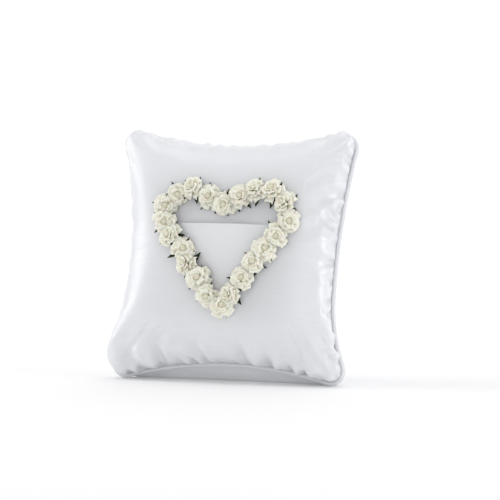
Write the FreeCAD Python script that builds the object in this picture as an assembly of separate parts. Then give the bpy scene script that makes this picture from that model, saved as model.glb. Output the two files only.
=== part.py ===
import FreeCAD, Part
import math
import os

from FreeCAD import Placement, Rotation, Vector

# Ring bearer pillow: a small square cushion with a piped edge, a satin ring
# pocket on its front and a heart of mulberry paper roses glued round the pocket.
# Millimetres.  Cushion coordinates: u to the right, v up the cushion, w out of
# its front, with the seam in the plane w = 0.  The cushion leans back by `lean`.

# --- driving dimensions -----------------------------------------------------
side = 160.0               # corner to corner, over the piping
half_thickness = 28.0      # seam plane to the crown of each face
lean = math.radians(10.0)

cloth = 0.8                # satin with its interlining
fill_gap = 0.3             # air between the cloth and the fibre fill
fill_seam = 0.3            # half height of the fill's edge band

piping_radius = 1.45
piping_bore = 1.05
cord_radius = 0.98
corner_radius = 8.0        # of the piping's centre line
edge_pull = 9.5            # how far each seam pulls in between its corners
narrowest = -25.0          # level of the narrowest place of the two sides
seam_clearance = 0.02

crown_power = 1.3          # how gently the crown rises from the middle of a seam
corner_power = 1.0         # the same in the stuffed corners
corner_swell = 0.4
settled_share = 0.6        # how much of that fullness the settled lower half has too
settled_range = (-0.2, 0.8)            # where the lower half starts and ends settling
above_corner_range = (0.45, 0.85)      # where the bottom corners take over from the sides
settled_side_roll = 0.6                # share of the side roll that settling takes away
upright = 0.5              # the roll that makes the crown leave its seam upright
roll_middle = 0.05         # further roll of the crown out over the seam, at its middle
side_roll = 1.0            # near the ends of the sides
level_roll = 0.6           # near the ends of the top and bottom
roll_fade = 1.3
settled_roll = 0.5         # where the fill has settled, low on the sides
point_reach = 0.3          # share of the crown's run where the roll fades into a corner point
corner_blunting = 3.0
blunting_power = 16
grid_steps = 48            # spans each way of a cushion surface

sag_depth = 14.5           # belly of the back face, down to the table
sag_level = -70.0
sag_height = 24.0
sag_half_width = 70.0
sag_full_height = 9.0      # crown height from which the whole sag is reached
floor_blend = 0.6          # softness of the fold round the resting patch
floor_cut = 0.15

heart_shift = 3.0          # the heart sits a little right of the middle
rose_count = 22
recess_depth = 2.0         # dent of the front cover behind the pocket
recess_half_width = 33.0
recess_half_height = 27.0
recess_level = 4.0

mouth_level = 17.5         # folded edge of the pocket
pocket_tip = -34.0
pocket_margin = 2.0        # panel cloth outside the heart's centre line
pocket_tip_half_width = 3.0
pocket_cloth = 1.0         # doubled satin
pocket_gape = 7.0
pocket_lift = 0.05
pocket_steps = 24

glue_radius = 2.5
glue_thickness = 0.45
glue_lift = 0.03
wire_radius = 0.45
wire_length = 5.0
wire_bore = 0.5
calyx_bottom = 0.55
sepal_reach = 5.3
sepal_thickness = 0.3
sepal_rise = 14.0          # degrees
petal_thickness = 0.4
petal_trim = 0.4           # paper trimmed off the lip where the top is rounded

stitch_count = 12
stitch_length = 3.0
stitch_pitch = 4.6
stitch_radius = 0.2
stitch_first_level = -18.0
stitch_bite = 0.42         # how far the stitches sink into the piping's flank
stitch_depth = 1.3         # behind the seam plane

# --- the seam outline -------------------------------------------------------
half_line = side / 2 - piping_radius       # piping centre line, at the corners
corner_centre = half_line - corner_radius


def edge_radius(level):
    """Radius of the concave arc that is deepest at `level` and meets the corner arc."""
    run = corner_centre - level
    start = corner_radius - edge_pull
    return (run ** 2 + start ** 2 - corner_radius ** 2) / (2 * edge_pull)


upper_radius = edge_radius(narrowest)
lower_radius = edge_radius(-narrowest)
level_radius = edge_radius(0.0)
waist = half_line - edge_pull


def side_edge(v, inset):
    """Half width of the outline at height v, `inset` inside the piping centre line."""
    radius = upper_radius if v > narrowest else lower_radius
    return waist + radius - math.sqrt((radius + inset) ** 2 - (v - narrowest) ** 2)


def level_edge(u, inset):
    """Half height of the outline at width u."""
    return waist + level_radius - math.sqrt((level_radius + inset) ** 2 - u ** 2)


# --- the crowned faces ------------------------------------------------------
def step_up(x, low, high):
    x = max(0.0, min(1.0, (x - low) / (high - low)))
    return x * x * (3 - 2 * x)


def rise(x, fullness):
    """Share of the crown's height at x, which is 0 at the seam and 1 in the middle."""
    power = crown_power + (corner_power - crown_power) * fullness
    return x ** power * (1 + corner_swell * fullness * (1 - x))


def crown_point(sigma, tau, inset, thickness):
    """u, v and height of a face at grid place (sigma, tau), each from -1 to 1."""
    psi = sigma * math.pi / 2
    phi = tau * math.pi / 2
    across = max(math.cos(psi), 0.0)
    along = max(math.cos(phi), 0.0)
    low = step_up(-math.sin(phi), *settled_range)
    above_corner = 1 - step_up(-math.sin(phi), *above_corner_range)
    roll_u = (upright + roll_middle * along ** 1.5
              + side_roll * (1 - settled_side_roll * low) * along ** roll_fade * (1 - along)
              + settled_roll * low * above_corner * along)
    roll_v = (upright + roll_middle * across ** 1.5
              + level_roll * across ** roll_fade * (1 - across))
    inside = 1 - (1 - step_up(across, 0, point_reach)) * (1 - step_up(along, 0, point_reach))
    s = math.sin(psi) * (1 + inside * roll_u * across ** 2)
    t = math.sin(phi) * (1 + inside * roll_v * along ** 2)
    reach = half_line - inset
    s_in = max(-1.0, min(1.0, s))
    t_in = max(-1.0, min(1.0, t))
    width = side_edge(t_in * reach, inset) - corner_blunting * abs(t_in) ** blunting_power
    height = level_edge(s_in * reach, inset) - corner_blunting * abs(s_in) ** blunting_power
    fullness = 1 - along * (1 - settled_share * low)
    crown = thickness * rise(across, fullness) * rise(along, 1 - across)
    return s * width, t * height, crown


def recess(u, v):
    """Depth of the dent that leaves room for the rings."""
    across = (u - heart_shift) / recess_half_width
    up = (v - recess_level) / recess_half_height
    return recess_depth * math.exp(-across ** 4 - up ** 4)


def stand(u, v, w):
    """Cushion coordinates to the frame it stands in, before it is centred."""
    lift = half_line * math.cos(lean) + piping_radius
    return Vector(u, v * math.sin(lean) - w * math.cos(lean),
                  v * math.cos(lean) + w * math.sin(lean) + lift)


def front_point(sigma, tau, inset, thickness, seam):
    u, v, w = crown_point(sigma, tau, inset, thickness)
    return stand(u, v, w - recess(u, v) + seam)


def back_point(sigma, tau, inset, thickness, seam):
    """The back face: its lowest part sags onto the table and lies flat there."""
    u, v, w = crown_point(sigma, tau, inset, thickness)
    point = stand(u, v, -w - seam)
    depth = min(1.0, w / sag_full_height) ** 2
    level = math.exp(-((v - sag_level) / sag_height) ** 2)
    middle = max(0.0, 1 - abs(u / sag_half_width) ** 4)
    sagged = point.z - sag_depth * depth * level * middle
    floor = half_thickness - thickness - floor_cut
    over = (sagged - floor) / floor_blend
    point.z = floor + floor_blend * (over if over > 30 else math.log(1 + math.exp(over)))
    return point


def face_grid(place, inset, thickness, seam=0.0):
    steps = [2 * i / grid_steps - 1 for i in range(grid_steps + 1)]
    return [[place(sigma, tau, inset, thickness, seam) for tau in steps] for sigma in steps]


def slab(one_grid, other_grid):
    """Closed solid between two grids of points that match, with ruled sides."""
    faces = []
    for grid in (one_grid, other_grid):
        surface = Part.BSplineSurface()
        surface.interpolate(grid)
        faces.append(surface.toShape())
    sides = [Part.makeRuledSurface(a, b) for a, b in zip(faces[0].Edges, faces[1].Edges)]
    shell = Part.makeShell(faces + sides)
    shell.sewShape()
    solid = Part.Solid(shell)
    if solid.Volume < 0:
        solid.reverse()
    return solid


seam_inset = piping_radius + seam_clearance
inner_inset = seam_inset + cloth
inner_thickness = half_thickness - cloth
fill_inset = inner_inset + fill_gap
fill_thickness = inner_thickness - fill_gap


def front_cover():
    return slab(face_grid(front_point, seam_inset, half_thickness),
                face_grid(front_point, inner_inset, inner_thickness))


def back_cover():
    solid = slab(face_grid(back_point, seam_inset, half_thickness),
                 face_grid(back_point, inner_inset, inner_thickness))
    table = Part.makeBox(2 * side, 2 * side, side, Vector(-side, -side, -side))
    return solid.cut(table)


def fibre_fill():
    return slab(face_grid(front_point, fill_inset, fill_thickness, fill_seam),
                face_grid(back_point, fill_inset, fill_thickness, fill_seam))


# --- the piping -------------------------------------------------------------
def bearing(start, end):
    return math.atan2(end[1] - start[1], end[0] - start[0])


def shorter_turn(angle):
    return (angle + math.pi) % (2 * math.pi) - math.pi


def outline_arcs():
    """Hub, radius, first bearing and turn of each arc of the piping's centre line."""
    arcs = []
    for flip in (1, -1):
        level_hub = (0.0, flip * (waist + level_radius))
        side_radius = upper_radius if flip > 0 else lower_radius
        first = bearing(level_hub, (-corner_centre, flip * corner_centre))
        arcs.append((level_hub, level_radius, first, 2 * (-flip * math.pi / 2 - first)))
        for mirror in (1, -1):
            corner_hub = (mirror * corner_centre, flip * corner_centre)
            side_hub = (mirror * (waist + side_radius), narrowest)
            first = bearing(side_hub, corner_hub)
            narrow = math.pi if mirror > 0 else 0.0
            arcs.append((side_hub, side_radius, first, shorter_turn(narrow - first)))
            first = bearing(corner_hub, level_hub)
            last = bearing(corner_hub, side_hub)
            arcs.append((corner_hub, corner_radius, first, shorter_turn(last - first)))
    return arcs


cushion_axis = Vector(0, -math.cos(lean), math.sin(lean))     # out of the front


def tube(outer, bore):
    """Round tube along the piping's centre line; a bore of 0 makes a cord."""
    pieces = []
    for (hub_u, hub_v), radius, first, sweep in outline_arcs():
        hub = stand(hub_u, hub_v, 0.0)
        direction = Vector(math.cos(first), 0, 0) + Vector(
            0, math.sin(lean), math.cos(lean)) * math.sin(first)
        start = hub + direction * radius
        along = cushion_axis.cross(direction)
        profile = Part.Face(Part.Wire(Part.makeCircle(outer, start, along)))
        if bore:
            profile = profile.cut(Part.Face(Part.Wire(Part.makeCircle(bore, start, along))))
        pieces.append(profile.revolve(hub, cushion_axis, math.degrees(sweep)))
    for piece in pieces:
        if piece.Volume < 0:
            piece.reverse()
    return pieces[0].multiFuse(pieces[1:]).removeSplitter()


def closing_stitches():
    """Slip stitches that close the left seam, in the groove behind the piping."""
    stitches = []
    for i in range(stitch_count):
        ends = []
        for shift in (0.0, stitch_length):
            v = stitch_first_level + i * stitch_pitch + shift
            ends.append(stand(-side_edge(v, piping_radius - stitch_bite), v, -stitch_depth))
        run = ends[1] - ends[0]
        stitches.append(Part.makeCylinder(stitch_radius, run.Length, ends[0], run))
    return Part.makeCompound(stitches)


# --- heart and pocket -------------------------------------------------------
def heart_point(turn):
    """Centre line of the roses; turn 0 is the notch and pi the tip.  It is laid by hand,
    so its tip lies a little right of its notch and its left lobe is the higher one."""
    u = (37.0 * math.sin(turn) - 5.4 * math.sin(3 * turn)
         - 1.35 * math.cos(turn) - 0.5 * math.sin(2 * turn))
    v = (14.2 + 31.5 * math.cos(turn) - 13.6 * math.cos(2 * turn)
         + 0.6 * math.cos(3 * turn) - 2.2 * math.cos(4 * turn)
         + 0.7 * math.sin(turn) - 0.9 * math.sin(2 * turn))
    return heart_shift + u, v


def rose_places():
    """Places at equal steps along the heart, with the direction of the line there."""
    fine = 2000
    line = [heart_point(2 * math.pi * i / fine) for i in range(fine + 1)]
    travelled = [0.0]
    for a, b in zip(line, line[1:]):
        travelled.append(travelled[-1] + math.dist(a, b))
    places = []
    i = 0
    for k in range(rose_count):
        goal = travelled[-1] * k / rose_count
        while travelled[i + 1] < goal:
            i += 1
        heading = math.atan2(line[i + 1][1] - line[i][1], line[i + 1][0] - line[i][0])
        places.append((line[i][0], line[i][1], heading))
    return places


def heart_side(v, hand):
    """Place u of the heart's right (hand 1) or left (-1) side at a level below its lobes."""
    low, high = math.pi / 2.2, math.pi
    for _ in range(40):
        middle = (low + high) / 2
        if heart_point(hand * middle)[1] > v:
            low = middle
        else:
            high = middle
    return heart_point(hand * low)[0]


def front_height(u, v):
    """Height w of the front cover's outer surface at (u, v)."""
    sigma, tau = u / side, v / side
    nudge = 1e-4
    for _ in range(12):
        here = crown_point(sigma, tau, seam_inset, half_thickness)
        by_sigma = crown_point(sigma + nudge, tau, seam_inset, half_thickness)
        by_tau = crown_point(sigma, tau + nudge, seam_inset, half_thickness)
        a, b = (by_sigma[0] - here[0]) / nudge, (by_tau[0] - here[0]) / nudge
        c, d = (by_sigma[1] - here[1]) / nudge, (by_tau[1] - here[1]) / nudge
        miss_u, miss_v = u - here[0], v - here[1]
        scale = a * d - b * c
        sigma += (d * miss_u - b * miss_v) / scale
        tau += (a * miss_v - c * miss_u) / scale
    return here[2] - recess(u, v)


def pocket_span(v):
    """Middle and half width of the panel at height v."""
    left, right = heart_side(v, -1), heart_side(v, 1)
    half = max((right - left) / 2 + pocket_margin, pocket_tip_half_width)
    return (left + right) / 2, half


def pocket_height(u, v):
    """Height of the panel's lower surface: seated at its rim, bowed out to its mouth."""
    middle, half = pocket_span(v)
    across = min(1.0, abs(u - middle) / half)
    up = min(1.0, max(0.0, (v - pocket_tip) / (mouth_level - pocket_tip)))
    gape = pocket_gape * (1 - across ** 2) ** 1.4 * math.sin(up * math.pi / 2) ** 1.5
    return front_height(u, v) + pocket_lift + gape


def pocket_panel():
    grids = ([], [])
    for i in range(pocket_steps + 1):
        across = 2 * i / pocket_steps - 1
        for grid in grids:
            grid.append([])
        for j in range(pocket_steps + 1):
            v = pocket_tip + (mouth_level - pocket_tip) * j / pocket_steps
            middle, half = pocket_span(v)
            u = middle + across * half
            w = pocket_height(u, v)
            grids[0][-1].append(stand(u, v, w))
            grids[1][-1].append(stand(u, v, w + pocket_cloth))
    return slab(grids[1], grids[0])


# --- roses ------------------------------------------------------------------
def surface_height(u, v):
    """Top of whatever cloth lies at (u, v): the pocket panel or the front cover."""
    if pocket_tip <= v <= mouth_level:
        middle, half = pocket_span(v)
        if abs(u - middle) <= half:
            return pocket_height(u, v) + pocket_cloth
    return front_height(u, v)


def rose_seat(u, v, heading):
    """Placement of a rose: its axis square to the cushion, its base clear of the cloth."""
    reach = 4.0
    slope_u = (front_height(u + reach, v) - front_height(u - reach, v)) / (2 * reach)
    slope_v = (front_height(u, v + reach) - front_height(u, v - reach)) / (2 * reach)
    axis = Vector(-slope_u, -slope_v, 1.0).normalize()
    middle = Vector(u, v, surface_height(u, v))
    base = 0.0
    for radius, allowance in ((glue_radius, 0.0), (sepal_reach, 1.0)):
        for i in range(16):
            angle = i * math.pi / 8
            x = u + radius * math.cos(angle)
            y = v + radius * math.sin(angle)
            spot = Vector(x, y, surface_height(x, y))
            base = max(base, (spot - middle).dot(axis) - allowance)
    seat = middle + axis * base
    along = Vector(math.cos(heading), math.sin(heading), 0)
    local_y = axis.cross(along).normalize()
    local_x = local_y.cross(axis)
    origin = stand(seat.x, seat.y, seat.z)

    def turned(direction):
        return stand(direction.x, direction.y, direction.z) - stand(0, 0, 0)

    rotation = Rotation(turned(local_x), turned(local_y), turned(axis), "ZXY")
    return Placement(origin, rotation)


def revolved(points):
    wire = Part.makePolygon([Vector(r, 0, z) for r, z in points + points[:1]])
    return Part.Face(wire).revolve(Vector(0, 0, 0), Vector(0, 0, 1), 360)


def petal(foot, belly, lip, spread, width, turn):
    """A curved petal: part of a bowl with a rounded top, at bearing `turn`."""
    inner = Part.Arc(Vector(foot[0], 0, foot[1]), Vector(belly[0], 0, belly[1]),
                     Vector(lip[0], 0, lip[1])).toShape()
    shift = petal_thickness
    outer = Part.Arc(Vector(foot[0] + shift, 0, foot[1] - shift / 2),
                     Vector(belly[0] + shift, 0, belly[1] - shift / 2),
                     Vector(lip[0] + shift / 2, 0, lip[1] - shift)).toShape()
    ends = [Part.makeLine(inner.Vertexes[k].Point, outer.Vertexes[k].Point) for k in (0, 1)]
    face = Part.Face(Part.Wire(Part.__sortEdges__([inner, ends[0], outer, ends[1]])))
    axis = Vector(0, 0, 1)
    face.rotate(Vector(0, 0, 0), axis, -spread / 2)
    bowl = face.revolve(Vector(0, 0, 0), axis, spread)
    low = foot[1] - 1.0
    height = (lip[1] - petal_trim - low) / 2
    rounding = Part.Ellipse(Vector(0, 0, 0), max(height, width), min(height, width)).toShape()
    window = Part.Face(Part.Wire(rounding)).extrude(Vector(0, 0, 10))
    tall = 90 if height > width else 0
    window.rotate(Vector(0, 0, 0), axis, tall)
    window.Placement = Placement(Vector(0, 0, low + height),
                                 Rotation(Vector(0, 1, 0), Vector(0, 0, 1), Vector(1, 0, 0), "ZXY")
                                 ).multiply(window.Placement)
    piece = bowl.common(window)
    piece.rotate(Vector(0, 0, 0), axis, turn)
    return piece


def rose(variant):
    """A paper rose: hub with the wire's bore, three bud petals and five open ones."""
    hub = revolved([(wire_bore, 1.3), (2.1, 1.3), (2.8, 2.9), (2.9, 4.6), (2.2, 8.2),
                    (0.0, 8.6), (0.0, 5.7), (wire_bore, 5.7)])
    pieces = []
    for k in range(3):
        out = 0.17 * k
        pieces.append(petal((1.6 + out, 4.2), (2.2 + out, 7.0), (1.75 + out, 10.0 + 0.3 * k),
                            146, 3.3, 120 * k + 25 * variant))
    for k in range(5):
        out = (0.0, 0.5, 0.1, 0.6, 0.3)[k]
        droop = 0.4 * ((k + variant) % 3)
        pieces.append(petal((2.0 + out, 3.4), (3.3 + out, 5.2), (4.2 + out, 8.6 - droop),
                            90, 3.6, 72 * k + 8))
    return hub.multiFuse(pieces).removeSplitter()


def calyx():
    """Green paper cup with five pointed sepals, bored for the wire."""
    cup = revolved([(wire_bore, calyx_bottom), (2.5, calyx_bottom), (3.4, 2.7), (3.0, 2.7),
                    (2.25, 1.15), (wire_bore, 1.15)])
    sepals = []
    root = Vector(1.8, 0, 0)
    tip = Vector(sepal_reach, 0, 0)
    for k in range(5):
        edges = [Part.Arc(root, Vector(3.2, 1.15 * hand, 0), tip).toShape() for hand in (1, -1)]
        leaf = Part.Face(Part.Wire(edges)).extrude(Vector(0, 0, sepal_thickness))
        leaf.rotate(root, Vector(0, 1, 0), -sepal_rise)
        leaf.translate(Vector(0, 0, calyx_bottom + 0.1))
        leaf.rotate(Vector(0, 0, 0), Vector(0, 0, 1), 90 + 72 * k)
        sepals.append(leaf)
    return cup.multiFuse(sepals).removeSplitter()


def placed(shape, placement):
    copy = shape.copy()
    copy.Placement = placement.multiply(copy.Placement)
    return copy


def flowers():
    """Rose, calyx, wire stub and glue dot of each place round the heart."""
    nodes = {}
    kinds = [rose(variant) for variant in range(4)]
    cup = calyx()
    wire = Part.makeCylinder(wire_radius, wire_length, Vector(0, 0, calyx_bottom))
    dot = Part.makeCylinder(glue_radius, glue_thickness, Vector(0, 0, glue_lift))
    wires, dots = [], []
    for k, (u, v, heading) in enumerate(rose_places()):
        seat = rose_seat(u, v, heading)
        spin = Placement(Vector(0, 0, 0), Rotation(Vector(0, 0, 1), 97.0 * k))
        nodes["rose_%02d" % (k + 1)] = placed(kinds[k % 4], seat.multiply(spin))
        nodes["calyx_%02d" % (k + 1)] = placed(cup, seat)
        wires.append(placed(wire, seat))
        dots.append(placed(dot, seat))
    nodes["rose_wires"] = Part.makeCompound(wires)
    nodes["glue_dots"] = Part.makeCompound(dots)
    return nodes


def centring(shapes):
    """Shift that brings the middle of the whole object's box over the origin."""
    lows, highs = [], []
    for shape in shapes:
        points = shape.tessellate(0.3)[0]
        lows.append([min(p[axis] for p in points) for axis in (0, 1)])
        highs.append([max(p[axis] for p in points) for axis in (0, 1)])
    middle = [(min(low[axis] for low in lows) + max(high[axis] for high in highs)) / 2
              for axis in (0, 1)]
    return Vector(-middle[0], -middle[1], 0)


def main():
    os.makedirs("parts", exist_ok=True)
    nodes = {
        "front_cover": front_cover(),
        "back_cover": back_cover(),
        "fibre_fill": fibre_fill(),
        "piping_cover": tube(piping_radius, piping_bore),
        "piping_cord": tube(cord_radius, 0.0),
        "pocket_panel": pocket_panel(),
        "closing_stitches": closing_stitches(),
    }
    nodes.update(flowers())
    shift = centring(nodes.values())
    for name, shape in nodes.items():
        shape.translate(shift)
        shape.exportStep("parts/%s.step" % name)
        print("%-18s solids %2d  valid %s  volume %10.1f" % (
            name, len(shape.Solids), shape.isValid(), shape.Volume))
    print("shift", shift)


main()
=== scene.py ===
import math

import bpy
import numpy as np
from mathutils import Matrix, Vector
from mathutils.bvhtree import BVHTree


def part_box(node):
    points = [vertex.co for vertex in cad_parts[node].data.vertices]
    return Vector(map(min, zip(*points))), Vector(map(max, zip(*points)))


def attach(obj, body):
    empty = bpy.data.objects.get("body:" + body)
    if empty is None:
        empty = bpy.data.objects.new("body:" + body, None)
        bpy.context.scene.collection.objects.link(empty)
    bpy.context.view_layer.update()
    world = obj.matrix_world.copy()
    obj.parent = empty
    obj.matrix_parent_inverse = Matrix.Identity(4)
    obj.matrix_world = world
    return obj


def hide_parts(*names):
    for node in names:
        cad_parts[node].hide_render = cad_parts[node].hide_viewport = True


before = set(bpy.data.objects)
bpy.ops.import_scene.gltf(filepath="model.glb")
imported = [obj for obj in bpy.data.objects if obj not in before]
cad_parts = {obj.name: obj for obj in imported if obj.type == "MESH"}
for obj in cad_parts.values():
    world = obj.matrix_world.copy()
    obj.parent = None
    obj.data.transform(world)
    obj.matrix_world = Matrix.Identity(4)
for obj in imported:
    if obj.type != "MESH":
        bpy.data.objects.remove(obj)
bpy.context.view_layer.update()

MM = 0.001
rng = np.random.default_rng(22)

# --- the cushion's own directions, from the piping's box -----------------------
PIPING_RADIUS = 1.45 * MM
CLOTH = 0.5 * MM                   # cloth thickness that shows
piping_low, piping_high = (np.array(c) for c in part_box("piping_cover"))
centre = (piping_low + piping_high) / 2
half_side = (piping_high[0] - piping_low[0]) / 2
half_line = half_side - PIPING_RADIUS
lean = math.asin(((piping_high[1] - piping_low[1]) / 2 - PIPING_RADIUS) / half_line)
U = np.array([1.0, 0.0, 0.0])
V = np.array([0.0, math.sin(lean), math.cos(lean)])
N = np.array([0.0, -math.cos(lean), math.sin(lean)])


def place(u, v, w):
    """Cushion coordinates (arrays, metres) to the row frame."""
    u, v, w = np.broadcast_arrays(u, v, w)
    return centre + u[..., None] * U + v[..., None] * V + w[..., None] * N


def node_tree(name):
    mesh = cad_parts[name].data
    return BVHTree.FromPolygons([v.co for v in mesh.vertices], [p.vertices for p in mesh.polygons])


def smooth(x, low, high):
    t = np.clip((x - low) / (high - low), 0, 1)
    return t * t * (3 - 2 * t)


def mesh_object(name, points, faces):
    mesh = bpy.data.meshes.new(name)
    mesh.from_pydata([tuple(p) for p in points], [], [tuple(int(i) for i in f) for f in faces])
    mesh.validate()
    mesh.update()
    mesh.polygons.foreach_set("use_smooth", [True] * len(mesh.polygons))
    obj = bpy.data.objects.new(name, mesh)
    bpy.context.scene.collection.objects.link(obj)
    return obj


def vertex_array(obj):
    co = np.zeros(len(obj.data.vertices) * 3)
    obj.data.vertices.foreach_get("co", co)
    return co.reshape(-1, 3)


def quads(index):
    """Four-sided faces of a grid of point numbers."""
    return np.stack([index[:-1, :-1], index[1:, :-1], index[1:, 1:], index[:-1, 1:]],
                    axis=-1).reshape(-1, 4)


# --- the seam line, read off the piping cord ------------------------------------
PAST_FACE = 0.1                    # mm; starts the second ray inside the cord


def seam_line(count=1600):
    """Centre line of the piping in cushion coordinates, at even angles from the middle."""
    tree = node_tree("piping_cord")
    line = []
    for k in range(count):
        angle = 2 * math.pi * k / count
        direction = math.cos(angle) * U + math.sin(angle) * V
        near = tree.ray_cast(Vector(centre), Vector(direction))[0]
        inside = np.array(near) + direction * PAST_FACE * MM
        far = tree.ray_cast(Vector(inside), Vector(direction))[0]
        middle = (np.array(near) + np.array(far)) / 2 - centre
        line.append((middle @ U, middle @ V))
    return np.array(line)


seam = seam_line()


SEAM_INSET = 1.1 * MM              # the cloth meets the piping this far inside its centre line


def inset_line(line, inset):
    tangent = np.roll(line, -3, axis=0) - np.roll(line, 3, axis=0)
    tangent /= np.linalg.norm(tangent, axis=1)[:, None]
    return line + inset * np.stack([-tangent[:, 1], tangent[:, 0]], axis=1)


cloth_line = inset_line(seam, SEAM_INSET)


def half_outline(line, side):
    """Distance from the middle line to one side of the outline, as a lookup."""
    axis, sign = {"right": (0, 1), "left": (0, -1), "top": (1, 1), "bottom": (1, -1)}[side]
    other = 1 - axis
    mine = line[(line[:, axis] * sign) >= np.abs(line[:, other]) * 0.999]
    order = np.argsort(mine[:, other])
    return mine[order, other], mine[order, axis] * sign


# --- cushion surface --------------------------------------------------------------
HALF_THICKNESS = 28.0 * MM
SPANS = 104                        # of the cloth's grid, each way
CROWN_POWER = 1.3                  # how gently the crown rises from the middle of a seam
CORNER_EASE = 0.3                  # how much less of that power the stuffed corners have
CORNER_SWELL = 0.4
SETTLED_SHARE = 0.6                # how much of the corners' fullness has settled low down
SETTLED_RANGE = (-0.2, 0.8)        # where the lower half starts and ends settling
ABOVE_CORNER_RANGE = (0.45, 0.85)  # where the bottom corners take over from the sides
UPRIGHT = 0.5                      # the roll that makes the crown leave its seam upright
ROLL_MIDDLE = 0.05                 # further roll out over the seam, at its middle
LEVEL_ROLL = 0.6                   # near the ends of the top and bottom; 1 on the sides
ROLL_FADE = 1.3
SETTLED_SIDE_ROLL = 0.6            # share of the side roll that settling takes away
SETTLED_ROLL = 0.5                 # low on the sides, where the fill has settled
MIDDLE_WIDTH = 0.88                # the cushion's width between its pulled-in seams


def rise(x, fullness):
    """Share of the crown's height at x, which is 0 at the seam and 1 in the middle."""
    return x ** (CROWN_POWER - CORNER_EASE * fullness) * (1 + CORNER_SWELL * fullness * (1 - x))


def even_steps():
    """Grid angles that space the middle section evenly along the cloth."""
    psi = np.linspace(-math.pi / 2, math.pi / 2, 2001)
    across = np.cos(psi).clip(0)
    x = np.sin(psi) * (1 + (UPRIGHT + ROLL_MIDDLE) * across ** 2) * half_line * MIDDLE_WIDTH
    z = HALF_THICKNESS * across ** CROWN_POWER
    run = np.concatenate([[0], np.cumsum(np.hypot(np.diff(x), np.diff(z)))])
    return np.interp(np.linspace(0, run[-1], SPANS + 1), run, psi)


grid_angles = even_steps()


def crown_grid(side_share=1.0, level_share=1.0):
    """u, v and height of the crowned face: fuller in its corners and low on its sides.

    side_share and level_share scale how far it rolls out over the sides and the top.
    """
    psi, phi = np.meshgrid(grid_angles, grid_angles, indexing="ij")
    across, along = np.cos(psi).clip(0), np.cos(phi).clip(0)
    low = smooth(-np.sin(phi), *SETTLED_RANGE)
    above_corner = 1 - smooth(-np.sin(phi), *ABOVE_CORNER_RANGE)
    roll_u = (UPRIGHT + ROLL_MIDDLE * along ** 1.5
              + (1 - SETTLED_SIDE_ROLL * low) * along ** ROLL_FADE * (1 - along)
              + SETTLED_ROLL * low * above_corner * along)
    roll_v = (UPRIGHT + ROLL_MIDDLE * across ** 1.5
              + LEVEL_ROLL * across ** ROLL_FADE * (1 - across))
    roll_u = roll_u * side_share
    roll_v = roll_v * np.where(phi > 0, level_share, 1.0)
    s = np.sin(psi) * (1 + roll_u * across ** 2)
    t = np.sin(phi) * (1 + roll_v * along ** 2)
    edges = {side: half_outline(cloth_line, side) for side in ("right", "left", "top", "bottom")}
    corner = edges["right"][0].max()
    s_in, t_in = s.clip(-1, 1) * corner, t.clip(-1, 1) * corner
    wide = np.where(s > 0, np.interp(t_in, *edges["right"]), np.interp(t_in, *edges["left"]))
    tall = np.where(t > 0, np.interp(s_in, *edges["top"]), np.interp(s_in, *edges["bottom"]))
    crown = rise(across, 1 - along * (1 - SETTLED_SHARE * low)) * rise(along, 1 - across)
    return s * wide, t * tall, HALF_THICKNESS * crown


HEART_MIDDLE = 3.0 * MM            # the heart sits a little right of the middle
HEART_LEVEL = 4.0 * MM
RECESS_DEPTH = 0.8 * MM            # dent of the cover behind the pocket
RECESS_HALF_WIDTH = 33.0 * MM
RECESS_HALF_HEIGHT = 27.0 * MM
SAG_DEPTH = 14.5 * MM              # belly of the back face, down to the table
SAG_LEVEL = -70.0 * MM
SAG_HEIGHT = 24.0 * MM
SAG_HALF_WIDTH = 70.0 * MM
SAG_FULL_HEIGHT = 9 * MM           # crown height from which the whole sag is reached
FLOOR_BLEND = 0.6 * MM             # softness of the fold round the resting patch
BACK_ROLL = (0.22, 0.5)            # the back falls away sooner behind its sides and top
TOP_OVERHANG = 34.0 * MM           # scale of the bulge; it reaches about a tenth of this


def overhang():
    """How far the front face is pushed out over its top seam by the fill."""
    along = np.cos(grid_angles).clip(0)
    across = np.cos(grid_angles).clip(0)[:, None]
    bulge = along * (1 - along) ** 3 * (np.sin(grid_angles) > 0)
    return TOP_OVERHANG * bulge * (0.55 + 0.45 * smooth(across, 0.0, 0.5))


def front_surface():
    u, v, w = crown_grid()
    v = v + overhang()
    dent = np.exp(-((u - HEART_MIDDLE) / RECESS_HALF_WIDTH) ** 4
                  - ((v - HEART_LEVEL) / RECESS_HALF_HEIGHT) ** 4)
    return place(u, v, w - RECESS_DEPTH * dent)


def back_surface():
    u, v, w = crown_grid(*BACK_ROLL)
    points = place(u, v, -w)
    depth = np.minimum(1.0, w / SAG_FULL_HEIGHT) ** 2
    level = np.exp(-((v - SAG_LEVEL) / SAG_HEIGHT) ** 2)
    middle = np.clip(1 - np.abs(u / SAG_HALF_WIDTH) ** 4, 0, None)
    z = points[..., 2] - SAG_DEPTH * depth * level * middle
    points[..., 2] = FLOOR_BLEND * np.logaddexp(0, z / FLOOR_BLEND)
    return points


def cushion_mesh():
    """Closed mesh of both faces that share their rim.

    Returns its points, the faces of the front and the back, the point number of each place in
    the front grid and in the back grid, and which places are on the rim.
    """
    n = SPANS + 1
    index = np.arange(n * n).reshape(n, n)
    rim = np.zeros((n, n), bool)
    rim[0, :] = rim[-1, :] = rim[:, 0] = rim[:, -1] = True
    back = np.where(rim, index, -1)
    back[~rim] = n * n + np.arange((~rim).sum())
    points = np.zeros((n * n + (~rim).sum(), 3))
    points[index] = front_surface()
    points[back[~rim]] = back_surface()[~rim]

    return points, quads(index), quads(back)[:, ::-1], index, back, rim


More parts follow.
